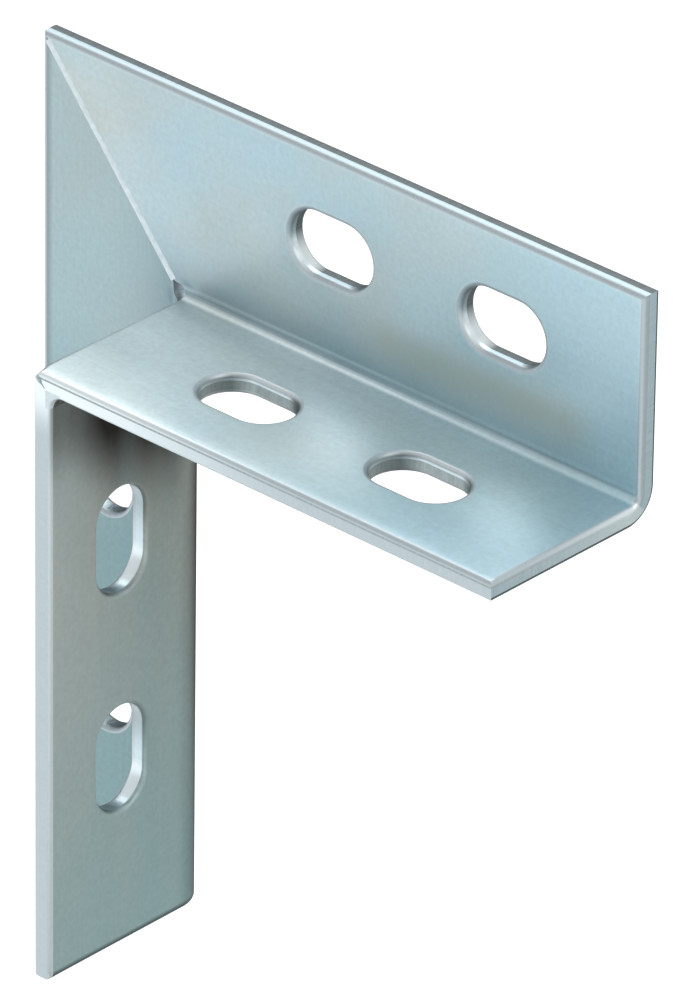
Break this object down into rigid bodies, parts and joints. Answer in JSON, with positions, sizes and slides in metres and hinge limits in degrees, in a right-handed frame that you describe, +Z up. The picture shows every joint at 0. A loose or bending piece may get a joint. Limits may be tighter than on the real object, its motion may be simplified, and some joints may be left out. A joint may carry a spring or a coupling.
{
  "type": "angle bracket",
  "caption": "Zinc-plated corner bracket of folded slotted angles, mitred and welded, with a shelf and a leg that stand out from wall flanges.",
  "frame": {"origin": "on the wall face, midway between the two slots of the upright flange", "axes": "+X along the shelf away from the corner, +Y into the wall, +Z up"},
  "size_m": [0.1606, 0.047, 0.185],
  "materials": {
    "zinc_plate": "bright blue zinc plating on folded steel plate",
    "weld": "dressed weld under the same zinc plating"
  },
  "bodies": {
    "root": {"horizontal_arm": "zinc_plate", "vertical_arm": "zinc_plate", "mitre_weld": "weld", "corner_weld": "weld"}
  },
  "joints": []
}
